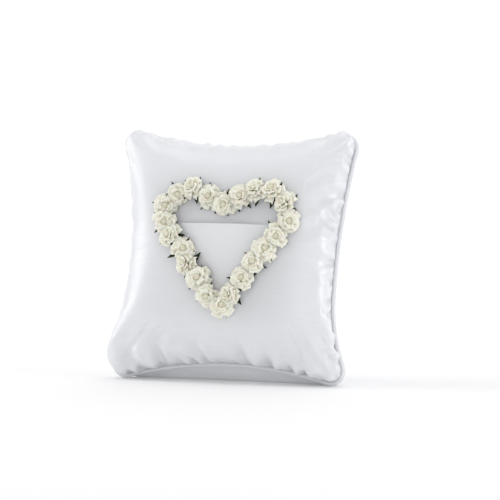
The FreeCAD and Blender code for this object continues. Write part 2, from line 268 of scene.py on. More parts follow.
# --- gathers and settling ---------------------------------------------------------
GATHER = 0.09                      # extra cloth along the seams
GATHER_REACH = 15.0 * MM
CUT_SIDE = 166.0 * MM              # each cover panel is cut to this square, seams aside
PUCKER_DEPTH = 2.0 * MM
PUCKER_PITCH = (4.5, 12.5)         # mm between two puckers
PUCKER_WIDTH = (1.3, 1.9)          # mm at the seam; they widen as they run in
PUCKER_WIDENING = 16 * MM
PUCKER_REACH = (17, 22)            # mm that every pucker runs in, and what strength adds
PUCKER_SLANT = 0.22
PUCKER_MARGIN = 15 * MM            # none starts nearer to a corner than this
PUCKER_ENDS = (12 * MM, 32 * MM)   # they fade out toward the corners over this
FRONT_PUCKERS = {"right": 1.5, "left": 0.5, "top": 0.8, "bottom": 1.8}
BACK_PUCKERS = {"right": 0.5, "left": 0.5, "top": 0.5, "bottom": 0.15}
FIRST_RIPPLE = 0.7                 # share of the pucker depth that the cloth starts with
FINE_SHARE = 0.45                  # and the share that is added after it has settled
# The corner that each fold runs from, its slant, its reach and its depth.
FOLDS = ((("right", "top"), 0.12, 84 * MM, 2.4 * MM), (("left", "bottom"), -0.1, 40 * MM, 0.9 * MM),
         (("right", "bottom"), 0.05, 46 * MM, 0.9 * MM), (("left", "top"), 0.1, 34 * MM, 0.5 * MM))
FOLD_START = (16 * MM, 34 * MM)    # along its run, where a fold begins and is fully there
FOLD_WIDTH = 5 * MM
FOLD_WIDENING = 0.12
CLOTH_FRAMES = 26
CLOTH_CAP = 5.0 * MM               # how far the cloth may leave the CAD surface
CLOTH_SETTINGS = {
    "quality": 8, "mass": 0.15, "air_damping": 1.0,
    "tension_stiffness": 25, "compression_stiffness": 25,
    "shear_stiffness": 8, "bending_stiffness": 0.02,
    "tension_damping": 5, "compression_damping": 5,
    "shear_damping": 5, "bending_damping": 0.5,
    "use_pressure": True, "uniform_pressure_force": 35.0,
    "vertex_group_mass": "held", "pin_stiffness": 1.0,
}
TABLE_TOUCH = 0.6 * MM             # cloth lower than this rests on the table
HEART_HALF_WIDTH = 53 * MM
HEART_HALF_HEIGHT = 50 * MM


def simulate(obj, rest, pinned):
    """Blender's cloth with pressure; returns the settled points."""
    obj.shape_key_add(name="Basis")
    key = obj.shape_key_add(name="cut")
    key.data.foreach_set("co", rest.ravel())
    group = obj.vertex_groups.new(name="held")
    group.add([int(i) for i in np.nonzero(pinned)[0]], 1.0, "REPLACE")
    modifier = obj.modifiers.new("cloth", "CLOTH")
    modifier.settings.rest_shape_key = key
    for name, value in CLOTH_SETTINGS.items():
        setattr(modifier.settings, name, value)
    modifier.settings.effector_weights.gravity = 0
    modifier.point_cache.frame_start = 1
    modifier.point_cache.frame_end = CLOTH_FRAMES
    for f in range(1, CLOTH_FRAMES + 1):
        bpy.context.scene.frame_set(f)
    graph = bpy.context.evaluated_depsgraph_get()
    result = vertex_array(obj.evaluated_get(graph))
    obj.modifiers.remove(modifier)
    obj.shape_key_clear()
    bpy.context.scene.frame_set(1)
    return result


def ease_coordinates():
    """Cushion coordinates with the extra length that the cloth has along its seams."""
    u, v, w = crown_grid()
    reach_v = np.exp(-((half_line - np.abs(v)) / GATHER_REACH) ** 2)
    reach_u = np.exp(-((half_line - np.abs(u)) / GATHER_REACH) ** 2)
    return u * (1 + GATHER * reach_v), v * (1 + GATHER * reach_u), w


def cloth_distance(count):
    """Distance along the cloth from each of its four seams, for a grid with count points."""
    i, j = np.meshgrid(np.linspace(0, CUT_SIDE, count), np.linspace(0, CUT_SIDE, count),
                       indexing="ij")
    return {"right": CUT_SIDE - i, "left": i, "top": CUT_SIDE - j, "bottom": j}


def pucker_field(draw, count, shares):
    """Heights of gathered creases: irregular valleys that run in from the seams."""
    distance = cloth_distance(count)
    height = np.zeros((count, count))
    for side, depth in distance.items():
        along = distance["bottom" if side in ("left", "right") else "left"]
        ends = smooth(np.minimum(along, CUT_SIDE - along), *PUCKER_ENDS)
        at = PUCKER_MARGIN
        while at < CUT_SIDE - PUCKER_MARGIN:
            strength = draw.uniform(0.3, 1.0) * shares[side]
            reach = (PUCKER_REACH[0] + PUCKER_REACH[1] * draw.uniform(0.2, 1.0) * strength) * MM
            width = draw.uniform(*PUCKER_WIDTH) * MM * (1 + depth / PUCKER_WIDENING)
            slant = draw.normal(0, PUCKER_SLANT)
            across = (along - at - slant * depth) / width
            fade = ends * (1 - smooth(depth, 0.25 * reach, reach)) * smooth(depth, -2 * MM, 7 * MM)
            valley = np.exp(-across ** 2) - 0.45 * np.exp(-((np.abs(across) - 2.0) / 0.9) ** 2)
            height -= PUCKER_DEPTH * strength * fade * valley
            at += draw.uniform(*PUCKER_PITCH) * MM
    return height


def corner_folds(count):
    """Soft diagonal folds that run from each stuffed corner toward the middle."""
    distance = cloth_distance(count)
    height = np.zeros((count, count))
    for corner, slant, reach, depth in FOLDS:
        x, y = (distance[side] for side in corner)
        run, across = (x + y) / math.sqrt(2), (x - y) / math.sqrt(2) - slant * (x + y)
        fade = smooth(run, *FOLD_START) * (1 - smooth(run, 0.4 * reach, reach))
        height -= depth * fade * np.exp(-(across / (FOLD_WIDTH + FOLD_WIDENING * run)) ** 2)
    return height


def held_points(index, rim, points):
    """1 where the cloth is sewn or rests on the table, 0 where it is free."""
    held = np.zeros(len(points))
    held[index[rim]] = 1.0
    held[(points[:, 2] < TABLE_TOUCH) & (np.arange(len(points)) > index.max())] = 1.0
    return held


def glued_share():
    """1 behind the pocket and the roses, where the cloth keeps to its CAD place."""
    u, v, w = crown_grid()
    heart = np.hypot((u - HEART_MIDDLE) / HEART_HALF_WIDTH, (v - HEART_LEVEL) / HEART_HALF_HEIGHT)
    return 1.0 - smooth(heart, 0.75, 1.45)


def vertex_normals(obj):
    normals = np.zeros(len(obj.data.vertices) * 3)
    obj.data.vertices.foreach_get("normal", normals)
    return normals.reshape(-1, 3)


def settle_cushion():
    """Points of both faces after the cloth has settled: front grid and back grid."""
    points, front_faces, back_faces, index, back, rim = cushion_mesh()
    obj = mesh_object("cushion_cloth", points, np.concatenate([front_faces, back_faces]))
    u, v, w = crown_grid()
    rest = points.copy()
    extra = place(*ease_coordinates()) - place(u, v, w)
    rest[index] += extra
    rest[back[~rim]] += extra[~rim]
    normals = vertex_normals(obj)
    moved = points.copy()
    for grid, shares in ((index, FRONT_PUCKERS), (back, BACK_PUCKERS)):
        ripple = FIRST_RIPPLE * pucker_field(rng, SPANS + 1, shares)
        ripple = (ripple + corner_folds(SPANS + 1))[~rim]
        moved[grid[~rim]] += ripple[:, None] * normals[grid[~rim]]
    obj.data.vertices.foreach_set("co", moved.ravel())
    result = moved
    drift = simulate(obj, rest, held_points(index, rim, points)) - points
    drift[index] *= 1 - glued_share()[..., None]
    length = np.linalg.norm(drift, axis=1)[:, None]
    result = points + drift * np.minimum(1, CLOTH_CAP / np.maximum(length, 1e-9))
    bpy.data.objects.remove(obj)
    return result[index], result[back]


front_points, back_points = settle_cushion()


def twice_as_fine(grid):
    """Doubles a grid's points both ways along smooth curves through the old ones."""
    for _ in range(2):
        padded = np.concatenate([2 * grid[:1] - grid[1:2], grid, 2 * grid[-1:] - grid[-2:-1]])
        between = (9 * (padded[1:-2] + padded[2:-1]) - padded[:-3] - padded[3:]) / 16
        finer = np.empty((2 * len(grid) - 1,) + grid.shape[1:])
        finer[::2], finer[1::2] = grid, between
        grid = finer.swapaxes(0, 1)
    return grid


def crease(grid, outward):
    """Adds the fine gathers that are too narrow for the simulated cloth."""
    grid = twice_as_fine(grid)
    du, dv = np.gradient(grid, axis=0), np.gradient(grid, axis=1)
    normal = np.cross(du, dv) * outward
    normal /= np.maximum(np.linalg.norm(normal, axis=-1, keepdims=True), 1e-12)
    shares = FRONT_PUCKERS if outward > 0 else BACK_PUCKERS
    fine = FINE_SHARE * pucker_field(rng, len(grid), shares)
    free = smooth(grid[..., 2], TABLE_TOUCH, 2.5 * MM) if outward < 0 else 1.0
    rim = np.ones(fine.shape)
    rim[0, :] = rim[-1, :] = rim[:, 0] = rim[:, -1] = 0
    return grid + (fine * rim * free)[..., None] * normal


front_points = crease(front_points, 1)
back_points = crease(back_points, -1)


# --- cloth pieces ------------------------------------------------------------------
def grid_faces(rows, columns, flip=False):
    index = np.arange(rows * columns).reshape(rows, columns)
    faces = quads(index)
    return faces[:, ::-1] if flip else faces


def add_uv(obj, uv):
    """uv holds one pair for each vertex, in metres of cloth."""
    layer = obj.data.uv_layers.new(name="cloth")
    loops = np.zeros(len(obj.data.loops), int)
    obj.data.loops.foreach_get("vertex_index", loops)
    layer.data.foreach_set("uv", np.asarray(uv)[loops].ravel())


def add_thickness(obj, thickness):
    """Thickens a sheet inward, less where it folds tightly on itself."""
    solid = obj.modifiers.new("thickness", "SOLIDIFY")
    solid.thickness = thickness
    solid.offset = -1.0
    solid.thickness_clamp = 0.8


def piece(obj, slot, *nodes):
    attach(obj, "root")
    if nodes:
        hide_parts(*nodes)


def cover(node, points, flip):
    rows, columns = points.shape[:2]
    obj = mesh_object(node + "_satin", points.reshape(-1, 3), grid_faces(rows, columns, flip))
    i, j = np.meshgrid(np.linspace(0, CUT_SIDE, rows), np.linspace(0, CUT_SIDE, columns),
                       indexing="ij")
    add_uv(obj, np.stack([i, j], axis=-1).reshape(-1, 2))
    add_thickness(obj, CLOTH)
    piece(obj, "cover_satin", node)
    return obj


front_cover = cover("front_cover", front_points, False)
back_cover = cover("back_cover", back_points, True)


FILL_SHARE = 0.86                  # the fill's size under the cover, so no dent reaches it
FILL_LUMPS = 0.004


def fibre_fill():
    """The loose fill: the cloth's own shape, just inside it, with soft lumps."""
    n = len(front_points)
    source = np.concatenate([front_points.reshape(-1, 3), back_points.reshape(-1, 3)])
    faces = np.concatenate([grid_faces(n, n), grid_faces(n, n, True) + n * n])
    obj = mesh_object("fibre_fill_mass", source, faces)
    lumps = FILL_LUMPS * np.sin(source[:, 0] / (6 * MM)) * np.sin(source[:, 2] / (7 * MM))
    inner = centre + (source - centre) * (FILL_SHARE + lumps[:, None])
    obj.data.vertices.foreach_set("co", inner.ravel())
    obj.data.update()
    piece(obj, "polyester_fill", "fibre_fill")
    return obj


fill = fibre_fill()


# --- piping ---------------------------------------------------------------------
PIPING_SECTION = 16
PIPING_STEP = 0.75 * MM
PLEAT_PITCH = 4.3 * MM
PLEAT_DEPTH = 0.035                # as a share of the radius
PLEAT_SLANT = 1.3
WAVER = 0.12 * MM


def even_loop(line, step):
    """A closed line in even steps, with its unit tangents."""
    closed = np.concatenate([line, line[:1]])
    run = np.concatenate([[0], np.cumsum(np.linalg.norm(np.diff(closed, axis=0), axis=1))])
    count = int(run[-1] / step)
    at = np.linspace(0, run[-1], count, endpoint=False)
    even = np.stack([np.interp(at, run, closed[:, k]) for k in (0, 1)], axis=1)
    tangent = np.roll(even, -2, axis=0) - np.roll(even, 2, axis=0)
    return even, tangent / np.linalg.norm(tangent, axis=1)[:, None], at


def piping():
    """Bias strip over a cord: a round tube with the small slanting pleats of bias cloth."""
    line, tangent, at = even_loop(seam, PIPING_STEP)
    around = np.arange(PIPING_SECTION) / PIPING_SECTION * 2 * math.pi
    s, a = np.meshgrid(at, around, indexing="ij")
    pleat = np.sin(2 * math.pi * s / PLEAT_PITCH + PLEAT_SLANT * a + 2 * np.sin(s / (21 * MM)))
    strength = 0.5 + 0.5 * np.sin(s / (37 * MM) + 1) * np.sin(s / (12.7 * MM))
    radius = PIPING_RADIUS * (0.985 + PLEAT_DEPTH * pleat * strength)
    outward = np.stack([tangent[:, 1], -tangent[:, 0]], axis=1)
    waver = WAVER * np.sin(s / (6.1 * MM)) * strength
    u = line[:, None, 0] + outward[:, None, 0] * radius * np.cos(a)
    v = line[:, None, 1] + outward[:, None, 1] * radius * np.cos(a)
    points = place(u, v, radius * np.sin(a) + waver)
    rows = len(line)
    index = np.arange(rows * PIPING_SECTION).reshape(rows, PIPING_SECTION)
    after = np.roll(index, -1, axis=0)
    faces = np.stack([index, after, np.roll(after, -1, axis=1), np.roll(index, -1, axis=1)],
                     axis=-1).reshape(-1, 4)
    obj = mesh_object("piping_strip", points.reshape(-1, 3), faces[:, ::-1])
    add_uv(obj, np.stack([s, a * PIPING_RADIUS], axis=-1).reshape(-1, 2))
    piece(obj, "piping_satin", "piping_cover")
    return obj


piping_strip = piping()


# --- ring pocket -------------------------------------------------------------------
POCKET_CLOTH = 0.9 * MM            # two layers of satin
POCKET_SEAT = 1.1 * MM             # top of the doubled cloth where it lies on the cover
POCKET_BOW = 0.6                   # share of the CAD panel's bow that the cloth shows
POCKET_ROWS = 49
POCKET_COLUMNS = 73
POCKET_SLACK = 0.35 * MM           # soft unevenness of the cloth, most near its mouth
FOLD_STEPS = 7
RAY_START = 60 * MM                # in front of everything on the cushion
HALVINGS = 16


def height_on(tree, u, v):
    """Height of a CAD face over the seam plane, or None beside it."""
    hit = tree.ray_cast(Vector(place(u, v, RAY_START)), Vector(-N))[0]
    return None if hit is None else (np.array(hit) - centre) @ N


def panel_ends(tree, middle_u, v):
    """Both ends of the CAD panel at one level, found by halving."""
    ends = []
    for hand in (-1, 1):
        inside, outside = middle_u, middle_u + hand * RAY_START
        for _ in range(HALVINGS):
            half = (inside + outside) / 2
            if height_on(tree, half, v) is not None:
                inside = half
            else:
                outside = half
        ends.append(inside)
    return ends


def pocket_grid():
    """u, v and w of the panel's upper layer, read off the CAD panel and the cover below."""
    panel_tree, cover_tree = node_tree("pocket_panel"), node_tree("front_cover")
    corners = np.array([x.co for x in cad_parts["pocket_panel"].data.vertices]) - centre
    us, vs = corners @ U, corners @ V
    low, high = vs.min() + 0.02 * MM, vs.max() - 0.02 * MM
    middle_u = us[vs < low + 0.3 * MM].mean()
    grid = np.zeros((POCKET_ROWS, POCKET_COLUMNS, 3))
    across = np.sin(np.linspace(-1, 1, POCKET_COLUMNS) * math.pi / 2 * 0.999)
    for r, v in enumerate(np.linspace(low, high, POCKET_ROWS)):
        ends = panel_ends(panel_tree, middle_u, v)
        middle_u = (ends[0] + ends[1]) / 2
        for c, share in enumerate(across):
            u = middle_u + share * (ends[1] - ends[0]) / 2
            seat = height_on(cover_tree, u, v) + POCKET_SEAT
            bow = max(height_on(panel_tree, u, v) - seat, 0.0)
            grid[r, c] = (u, v, seat + bow * POCKET_BOW)
    u, v, w = grid[..., 0], grid[..., 1], grid[..., 2]
    share = (u - u.mean()) / np.ptp(u)
    up = (v - low) / (high - low)
    slack = POCKET_SLACK * np.sin(7 * share + 3 * up) * np.sin(5 * up + 9 * share) * up
    return u, v, w + slack * (1 - (2 * share).clip(-1, 1) ** 2)


def pocket_faces(rows, columns):
    """Faces of the folded strip of rows, closed along its two sides and its lower edge."""
    index = np.arange(rows * columns).reshape(rows, columns)
    faces = [tuple(f) for f in grid_faces(rows, columns, True)]
    left, right = index[:, 0], index[:, -1]
    for k in range(rows // 2):
        mirror = rows - 1 - k
        if mirror - k > 1:
            faces.append((left[k], left[k + 1], left[mirror - 1], left[mirror]))
            faces.append((right[mirror], right[mirror - 1], right[k + 1], right[k]))
    for c in range(columns - 1):
        faces.append((index[0, c], index[0, c + 1], index[-1, c + 1], index[-1, c]))
    return faces


def pocket_panel():
    """The doubled panel: two layers that run into a rounded fold at the mouth."""
    u, v, w = pocket_grid()
    radius = POCKET_CLOTH / 2
    angles = np.linspace(0, math.pi, FOLD_STEPS + 2)[1:-1]
    upper = place(u, v, w)
    lower = place(u, v, w - POCKET_CLOTH)
    fold = [place(u[-1], v[-1] + radius * np.sin(t), w[-1] - radius + radius * np.cos(t))
            for t in angles]
    points = np.array(list(upper) + fold + list(lower[::-1]))
    rows, columns = points.shape[:2]
    obj = mesh_object("pocket_panel_satin", points.reshape(-1, 3), pocket_faces(rows, columns))
    run = np.concatenate([v[:, 0], v[-1, 0] + radius * angles, 2 * v[-1, 0] - v[::-1, 0]])
    flat_u = np.concatenate([u, np.repeat(u[-1:], len(angles), axis=0), u[::-1]])
    add_uv(obj, np.stack([flat_u, np.repeat(run[:, None], columns, axis=1)],
                         axis=-1).reshape(-1, 2))
    piece(obj, "pocket_satin", "pocket_panel")
    return obj


pocket = pocket_panel()


# --- roses --------------------------------------------------------------------------
PAPER = 0.16 * MM
ROSES = sorted(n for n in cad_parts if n.startswith("rose_") and n != "rose_wires")
CUP_BASE = 0.55 * MM               # the cup's wire end below its lowest CAD point
ROSE_TILT = 0.42                   # radians at most, since each is glued on by hand
# Petals of each ring: how many, radius and height of the foot, radius and height of the lip
# (mm), half the angle that one spans (degrees), and how far its lip rolls back (mm).
PETAL_RINGS = ((3, 0.9, 3.9, 2.9, 9.9, 68, 0.45), (4, 1.2, 3.4, 4.1, 9.0, 58, 0.9),
               (5, 1.5, 2.9, 5.4, 7.3, 46, 1.3), (5, 1.7, 2.4, 6.4, 5.0, 44, 1.4))
RING_TURN = 0.55                   # radians from one ring to the next
PETAL_OVERLAP = 0.14               # mm that every other petal stands further out
BUD_FOOT = 4.2 * MM
BUD_TOP = 10.3 * MM
BUD_CORE_TOP = 9.35                # mm
SEPALS = 5
SEPAL_START = 1.4 * MM
SEPAL_THICKNESS = 0.2 * MM


def rose_seat(node):
    """Axis and foot of a rose, from its CAD solids."""
    flower = np.array([v.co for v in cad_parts[node].data.vertices])
    cup = np.array([v.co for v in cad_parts[node.replace("rose", "calyx")].data.vertices])
    axis = flower.mean(axis=0) - cup.mean(axis=0)
    axis /= np.linalg.norm(axis)
    foot = cup.mean(axis=0) + axis * (((cup - cup.mean(axis=0)) @ axis).min() - CUP_BASE)
    return foot, axis


def petal_points(draw, foot, lip, half_angle, curl, bearing, rows=9, columns=11):
    """A petal as a grid: it climbs from its foot, cups, and rolls back at its lip."""
    b, a = np.meshgrid(np.linspace(0, 1, rows), np.linspace(-1, 1, columns), indexing="ij")
    outline = np.sin(math.pi * (0.2 + 0.70 * b)) ** 0.65
    climb = np.sin(b * math.pi / 2) ** 0.9
    radius = foot[0] + (lip[0] - foot[0]) * b ** draw.uniform(1.15, 1.5)
    height = foot[1] + (lip[1] - foot[1]) * climb
    roll = np.clip((b - 0.62) / 0.38, 0, 1) ** 2
    edge = np.abs(a) ** 3
    radius = radius + curl * roll * (0.5 + 0.7 * edge)
    height = height - curl * roll * (0.35 + 0.9 * edge)
    peak = 1 - np.abs(a) ** 1.3
    radius = radius + 0.35 * curl * roll * peak
    wave = draw.uniform(0, 2 * math.pi)
    crimp = 0.12 * MM * np.sin(5 * a + wave) * b ** 2 + 0.10 * MM * np.sin(11 * a - wave) * b ** 3
    radius = radius + crimp
    height = height + 0.8 * crimp * np.cos(3 * a)
    angle = bearing + a * half_angle * outline
    return np.stack([radius * np.cos(angle), radius * np.sin(angle), height], axis=-1)


def bud_points(draw, turns=2.3, rows=8, columns=60):
    """The rolled heart of the rose: one strip of paper wound into a spiral."""
    b, t = np.meshgrid(np.linspace(0, 1, rows), np.linspace(0, 1, columns), indexing="ij")
    start = draw.uniform(0, 2 * math.pi)
    angle = start + 2 * math.pi * turns * t
    radius = (0.35 + 1.75 * t) * MM * (0.72 + 0.28 * b + 0.10 * np.sin(3 * angle + start) * b)
    top = BUD_TOP - 1.1 * MM * t + 0.25 * MM * np.sin(4 * angle + start)
    height = BUD_FOOT + (top - BUD_FOOT) * b
    return np.stack([radius * np.cos(angle), radius * np.sin(angle), height], axis=-1)


def bud_core(rows=4, columns=25):
    """The tight middle of the rolled strip, just below its lip."""
    # Its rows run from the rim in to the middle, so the paper's painted shade falls on its rim and
    # its middle keeps the paper's own colour.
    b, t = np.meshgrid(np.linspace(1, 0.02, rows), np.linspace(0, 1, columns), indexing="ij")
    angle = 2 * math.pi * t
    return np.stack([1.75 * MM * b * np.cos(angle), 1.75 * MM * b * np.sin(angle),
                     (BUD_CORE_TOP - 0.7 * b ** 2) * MM], axis=-1)


def rose_sheets(draw):
    """The bud and the rings of petals round it, each as a grid of points."""
    sheets = [bud_points(draw), bud_core()]
    spin = draw.uniform(0, 2 * math.pi)
    for ring, (count, foot_r, foot_z, lip_r, lip_z, half, curl) in enumerate(PETAL_RINGS):
        for k in range(count):
            bearing = spin + 2 * math.pi * k / count + ring * RING_TURN + draw.uniform(-0.25, 0.25)
            lip = (lip_r * draw.uniform(0.88, 1.10), lip_z + draw.uniform(-0.8, 0.6))
            out = PETAL_OVERLAP * (k % 2)
            sheets.append(petal_points(draw, ((foot_r + out) * MM, foot_z * MM),
                                       ((lip[0] + out) * MM, lip[1] * MM),
                                       math.radians(half * draw.uniform(0.88, 1.1)),
                                       curl * draw.uniform(0.7, 1.3) * MM, bearing))
    return sheets


def join_sheets(sheets):
    """One mesh of several grids, and how far up its own grid each point is."""
    points, faces, depth = [], [], []
    base = 0
    for sheet in sheets:
        rows, columns = sheet.shape[:2]
        points.append(sheet.reshape(-1, 3))
        faces.append(grid_faces(rows, columns) + base)
        depth.append(np.repeat(np.linspace(0, 1, rows), columns))
        base += rows * columns
    return np.concatenate(points), np.concatenate(faces), np.concatenate(depth)


def stand_on(points, foot, axis, draw, tilt):
    """Rose coordinates to the row frame, with a little handmade tilt about the foot."""
    side = np.cross([0.0, 0.0, 1.0], axis)
    side /= np.linalg.norm(side)
    basis = np.stack([side, np.cross(axis, side), axis])
    angle = tilt * draw.uniform(0.3, 1)
    bearing = draw.uniform(0, 6.28)
    turn = Matrix.Rotation(angle, 3, Vector((math.cos(bearing), math.sin(bearing), 0)))
    return foot + (points @ np.array(turn).T) @ basis


def add_painted_shade_ramp(obj, depth):
    """Stores how far up its petal each point is, for the painted shade toward each petal's foot."""
    layer = obj.data.uv_layers.new(name="depth")
    loops = np.zeros(len(obj.data.loops), int)
    obj.data.loops.foreach_get("vertex_index", loops)
    both = np.stack([depth[loops], depth[loops]], axis=-1)
    layer.data.foreach_set("uv", both.ravel())


def rose(node, k):
    draw = np.random.default_rng(500 + k)
    points, faces, depth = join_sheets(rose_sheets(draw))
    foot, axis = rose_seat(node)
    points = points * (np.array([1.06, 1.06, 1.0]) * draw.uniform(0.95, 1.04))
    obj = mesh_object(node + "_petals", stand_on(points, foot, axis, draw, ROSE_TILT), faces)
    add_painted_shade_ramp(obj, depth)
    add_thickness(obj, PAPER)
    piece(obj, "rose_paper", node)
    return obj


def sepal_points(draw, bearing, rows=9, columns=7):
    """A pointed sepal that leaves the cup, lies along the cloth and lifts at its tip."""
    b, a = np.meshgrid(np.linspace(0, 1, rows), np.linspace(-1, 1, columns), indexing="ij")
    reach = draw.uniform(8.4, 10.6) * MM
    half_width = (0.25 + 1.25 * np.sin(math.pi * (0.12 + 0.85 * b)) ** 1.1) * MM * (1 - 0.9 * b ** 4)
    x = SEPAL_START + (reach - SEPAL_START) * b
    y = a * half_width + draw.uniform(-0.6, 0.6) * MM * b ** 2
    lift = draw.uniform(0.6, 2.8) * MM
    z = (0.95 + 0.3 * np.abs(a) ** 1.5) * MM + lift * b ** 1.6
    c, s = math.cos(bearing), math.sin(bearing)
    return np.stack([x * c - y * s, x * s + y * c, z], axis=-1)


def cup_points(rows=6, columns=25):
    """The round green cup that holds the petals' feet."""
    b, t = np.meshgrid(np.linspace(0, 1, rows), np.linspace(0, 1, columns), indexing="ij")
    angle = 2 * math.pi * t
    radius = (0.5 + 2.9 * b ** 0.7) * MM
    height = (0.6 + 2.3 * b ** 1.8) * MM
    return np.stack([radius * np.cos(angle), radius * np.sin(angle), height], axis=-1)


def calyx(node, k):
    draw = np.random.default_rng(900 + k)
    spin = draw.uniform(0, 2 * math.pi)
    sheets = [cup_points()]
    sheets += [sepal_points(draw, spin + 2 * math.pi * i / SEPALS + draw.uniform(-0.2, 0.2))
               for i in range(SEPALS)]
    points, faces, depth = join_sheets(sheets)
    foot, axis = rose_seat(node.replace("calyx", "rose"))
    obj = mesh_object(node + "_leaf", stand_on(points, foot, axis, draw, 0.0), faces)
    add_painted_shade_ramp(obj, depth)
    add_thickness(obj, SEPAL_THICKNESS)
    piece(obj, "leaf_paper", node)
    return obj


roses = [rose(node, k) for k, node in enumerate(ROSES)]
calyxes = [calyx(node.replace("rose", "calyx"), k) for k, node in enumerate(ROSES)]


# --- materials --------------------------------------------------------------------
def new_material(name, colour, roughness, **inputs):
    """A material with one Principled shader; returns the material and its node tree."""
    material = bpy.data.materials.new(name)
    material.use_nodes = True
    shader = material.node_tree.nodes["Principled BSDF"]
    shader.inputs["Base Color"].default_value = (*colour, 1)
    shader.inputs["Roughness"].default_value = roughness
    for key, value in inputs.items():
        shader.inputs[key.replace("_", " ")].default_value = value
    return material, material.node_tree, shader


def scaled_noise(tree, coordinates, scale, detail=3.0):
    """Noise over coordinates in metres; scale gives lumps per metre along each axis."""
    mapping = tree.nodes.new("ShaderNodeMapping")
    mapping.inputs["Scale"].default_value = scale
    tree.links.new(coordinates, mapping.inputs["Vector"])
    noise = tree.nodes.new("ShaderNodeTexNoise")
    noise.inputs["Scale"].default_value = 1.0
    noise.inputs["Detail"].default_value = detail
    tree.links.new(mapping.outputs["Vector"], noise.inputs["Vector"])
    return noise.outputs["Fac"]


def remap(tree, value, low, high, source=(0.3, 0.7)):
    """Stretches a value from the source range to low and high."""
    node = tree.nodes.new("ShaderNodeMapRange")
    node.inputs["From Min"].default_value, node.inputs["From Max"].default_value = source
    node.inputs["To Min"].default_value, node.inputs["To Max"].default_value = low, high
    tree.links.new(value, node.inputs["Value"])
    return node.outputs["Result"]


def colour_between(tree, value, one, other):
    mix = tree.nodes.new("ShaderNodeMix")
    mix.data_type = "RGBA"
    mix.inputs["A"].default_value = (*one, 1)
    mix.inputs["B"].default_value = (*other, 1)
    tree.links.new(value, mix.inputs["Factor"])
    return mix.outputs["Result"]


def add_bump(tree, shader, layers):
    """Stacks bumps; each layer is a height output and its depth in metres."""
    normal = None
    for height, depth in layers:
        bump = tree.nodes.new("ShaderNodeBump")
        bump.inputs["Strength"].default_value = 1.0
        bump.inputs["Distance"].default_value = depth
        tree.links.new(height, bump.inputs["Height"])
        if normal is not None:
            tree.links.new(normal, bump.inputs["Normal"])
        normal = bump.outputs["Normal"]
    tree.links.new(normal, shader.inputs["Normal"])


def uv_output(tree, layer):
    node = tree.nodes.new("ShaderNodeUVMap")
    node.uv_map = layer
    return node.outputs["UV"]


def object_output(tree):
    return tree.nodes.new("ShaderNodeTexCoord").outputs["Object"]


def satin(name, colour, shade, roughness=0.32, slub=0.016 * MM):
    """Woven satin: long horizontal slubs, a fine weave and a soft sheen."""
    material, tree, shader = new_material(name, colour, roughness, Sheen_Weight=0.15,
                                          Sheen_Roughness=0.4, Specular_IOR_Level=0.95)
    cloth = uv_output(tree, "cloth")
    slubs = scaled_noise(tree, cloth, (55, 1150, 1), 4.0)
    weave = scaled_noise(tree, cloth, (1900, 2600, 1), 2.0)
    add_bump(tree, shader, [(weave, 0.012 * MM), (slubs, slub)])
    tree.links.new(colour_between(tree, remap(tree, slubs, 0, 1), shade, colour),
                   shader.inputs["Base Color"])
    tree.links.new(remap(tree, slubs, roughness + 0.06, roughness - 0.04),
                   shader.inputs["Roughness"])
    return material


def paper(name, inner, outer, roughness, fibre_depth):
    """Handmade paper with fibres and a random mottle; the darker colour toward the foot of each
    petal, sepal and cup is painted shade, where they shade one another.
    """
    material, tree, shader = new_material(name, outer, roughness, Specular_IOR_Level=0.25,
                                          Subsurface_Weight=0.08, Subsurface_Scale=1.5 * MM)
    coordinates = object_output(tree)
    fibres = scaled_noise(tree, coordinates, (1400, 1400, 1400), 6.0)
    mottle = scaled_noise(tree, coordinates, (260, 260, 260), 2.0)
    add_bump(tree, shader, [(fibres, fibre_depth)])
    # Painted shade: the colour runs from the first colour at each petal's foot to the paper's own
    # colour at its lip; the mottle is the paper's own uneven tone.
    depth = tree.nodes.new("ShaderNodeSeparateXYZ")
    tree.links.new(uv_output(tree, "depth"), depth.inputs["Vector"])
    mottle_and_painted_shade = tree.nodes.new("ShaderNodeMath")
    mottle_and_painted_shade.operation = "MULTIPLY_ADD"
    tree.links.new(remap(tree, mottle, 0.7, 1.15), mottle_and_painted_shade.inputs[0])
    tree.links.new(remap(tree, depth.outputs["X"], 0, 1, (0.15, 0.85)), mottle_and_painted_shade.inputs[1])
    mottle_and_painted_shade.inputs[2].default_value = 0.0
    mottle_and_painted_shade.use_clamp = True
    tree.links.new(colour_between(tree, mottle_and_painted_shade.outputs["Value"], inner, outer),
                   shader.inputs["Base Color"])
    return material


def spun(name, colour, roughness, scale, depth, **inputs):
    """Fibres or thread: one colour with a fine uneven surface."""
    material, tree, shader = new_material(name, colour, roughness, **inputs)
    add_bump(tree, shader, [(scaled_noise(tree, object_output(tree), scale, 4.0), depth)])
    return material


SATIN_WHITE = (0.765, 0.773, 0.795)
SATIN_SHADE = (0.735, 0.745, 0.772)
COVER_MATERIAL = satin("cover_satin", SATIN_WHITE, SATIN_SHADE)
# Painted light: the pocket is the cover's satin, given a lighter colour for the extra light that its
# raised panel catches.
POCKET_SATIN_PAINTED_LIGHTER = satin("pocket_satin", (0.795, 0.803, 0.822), SATIN_WHITE)
PIPING_MATERIAL = satin("piping_satin", (0.74, 0.75, 0.775), (0.70, 0.71, 0.74), 0.42)
